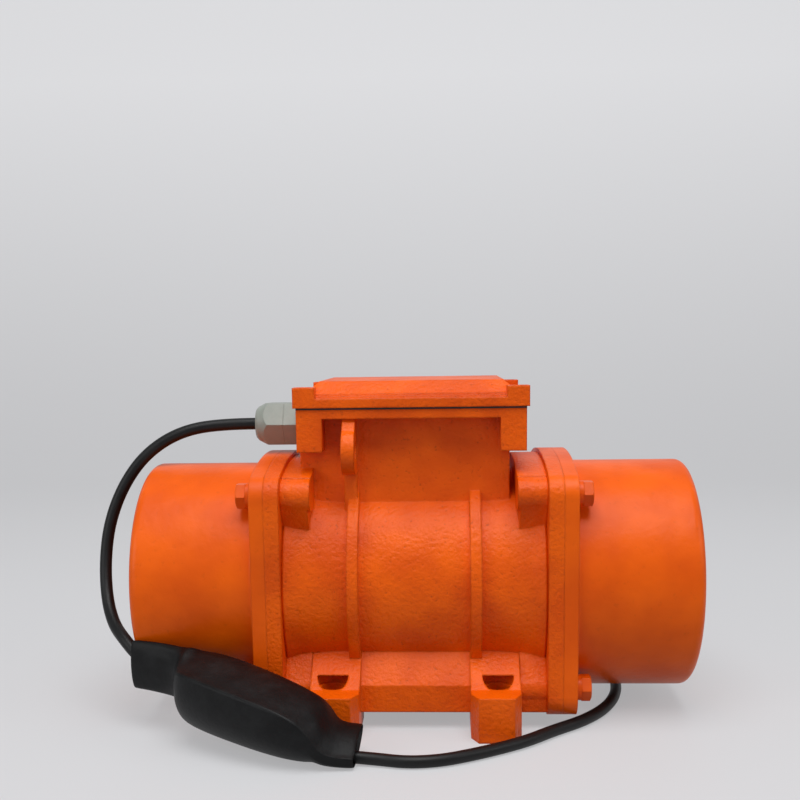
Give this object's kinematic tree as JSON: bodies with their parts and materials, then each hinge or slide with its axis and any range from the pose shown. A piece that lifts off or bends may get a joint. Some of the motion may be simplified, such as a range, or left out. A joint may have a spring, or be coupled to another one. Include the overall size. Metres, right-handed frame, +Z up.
{
  "type": "vibration motor",
  "caption": "Rotary vibration motor with unbalanced weights under round end covers, cast footed housing, terminal box with gland, lead with inline capacitor, and plug.",
  "frame": {"origin": "centre of the foot bolt pattern, on the underside of the feet", "axes": "+X along the shaft away from the gland end, -Y towards the front, +Z up through the terminal box"},
  "size_m": [0.34, 0.3193, 0.19],
  "materials": {
    "orange_enamel": "semi-gloss orange enamel on a sand casting",
    "painted_fixings": "orange enamel over steel fixings",
    "ground_steel": "ground bearing and shaft steel",
    "spring_steel": "oiled spring steel",
    "zinc_steel": "zinc plated steel",
    "core_steel": "stacked electrical steel",
    "cast_iron_weight": "machined cast iron",
    "cast_aluminium": "die-cast aluminium",
    "copper_winding": "varnished copper wire",
    "brass_studs": "plain brass",
    "nitrile_rubber": "black nitrile rubber",
    "terminal_plastic": "moulded terminal plastic",
    "grey_nylon": "light grey moulded nylon",
    "black_cable": "matte black cable jacket",
    "shrink_sleeve": "satin black heat-shrink sleeve",
    "capacitor_plastic": "moulded capacitor can",
    "tie_band": "black woven tie",
    "plug_plastic": "black moulded plug"
  },
  "bodies": {
    "motor": {"motor_housing": "orange_enamel", "left_end_shield": "orange_enamel", "right_end_shield": "orange_enamel", "left_weight_cover": "orange_enamel", "right_weight_cover": "orange_enamel", "terminal_box_lid": "orange_enamel", "left_cover_bolt_1": "painted_fixings", "left_cover_bolt_2": "painted_fixings", "left_cover_bolt_3": "painted_fixings", "left_cover_bolt_4": "painted_fixings", "right_cover_bolt_1": "painted_fixings", "right_cover_bolt_2": "painted_fixings", "right_cover_bolt_3": "painted_fixings", "right_cover_bolt_4": "painted_fixings", "left_cover_washers": "painted_fixings", "right_cover_washers": "painted_fixings", "lid_screw_1": "painted_fixings", "lid_screw_2": "painted_fixings", "lid_screw_3": "painted_fixings", "lid_screw_4": "painted_fixings", "left_bearing_outer_ring": "ground_steel", "left_shaft_seal": "nitrile_rubber", "right_bearing_outer_ring": "ground_steel", "right_shaft_seal": "nitrile_rubber", "stator_core": "core_steel", "stator_winding": "copper_winding", "lid_gasket": "nitrile_rubber", "terminal_block": "terminal_plastic", "terminal_studs": "brass_studs", "gland_washer": "nitrile_rubber", "gland_body": "grey_nylon", "gland_cap_nut": "grey_nylon", "gland_insert": "nitrile_rubber", "gland_locknut": "grey_nylon", "lead_tail": "black_cable", "motor_lead": "black_cable", "supply_cord": "black_cable", "cord_coil": "black_cable", "coil_tail": "black_cable", "capacitor": "capacitor_plastic", "capacitor_sleeve": "shrink_sleeve", "cord_tie": "tie_band", "mains_plug": "plug_plastic", "plug_pins": "brass_studs"},
    "rotor": {"shaft": "ground_steel", "rotor_core": "core_steel", "rotor_cage_rings": "cast_aluminium", "left_bearing_inner_ring": "ground_steel", "left_fixed_weight": "cast_iron_weight", "left_fixed_weight_screw": "zinc_steel", "left_retaining_ring": "spring_steel", "right_bearing_inner_ring": "ground_steel", "right_fixed_weight": "cast_iron_weight", "right_fixed_weight_screw": "zinc_steel", "right_retaining_ring": "spring_steel"},
    "left_weight": {"left_adjustable_weight": "cast_iron_weight", "left_adjustable_weight_screw": "zinc_steel"},
    "right_weight": {"right_adjustable_weight": "cast_iron_weight", "right_adjustable_weight_screw": "zinc_steel"}
  },
  "joints": [
    {"name": "rotor_spin", "type": "hinge", "parent": "motor", "child": "rotor", "pos_m": [0, 0, 0.075], "axis": [1, 0, 0], "continuous": true},
    {"name": "left_weight_setting", "type": "hinge", "parent": "rotor", "child": "left_weight", "pos_m": [-0.1268, 0, 0.075], "axis": [1, 0, 0], "range_deg": [0, 180]},
    {"name": "right_weight_setting", "type": "hinge", "parent": "rotor", "child": "right_weight", "pos_m": [0.1268, 0, 0.075], "axis": [1, 0, 0], "range_deg": [0, 180]}
  ]
}
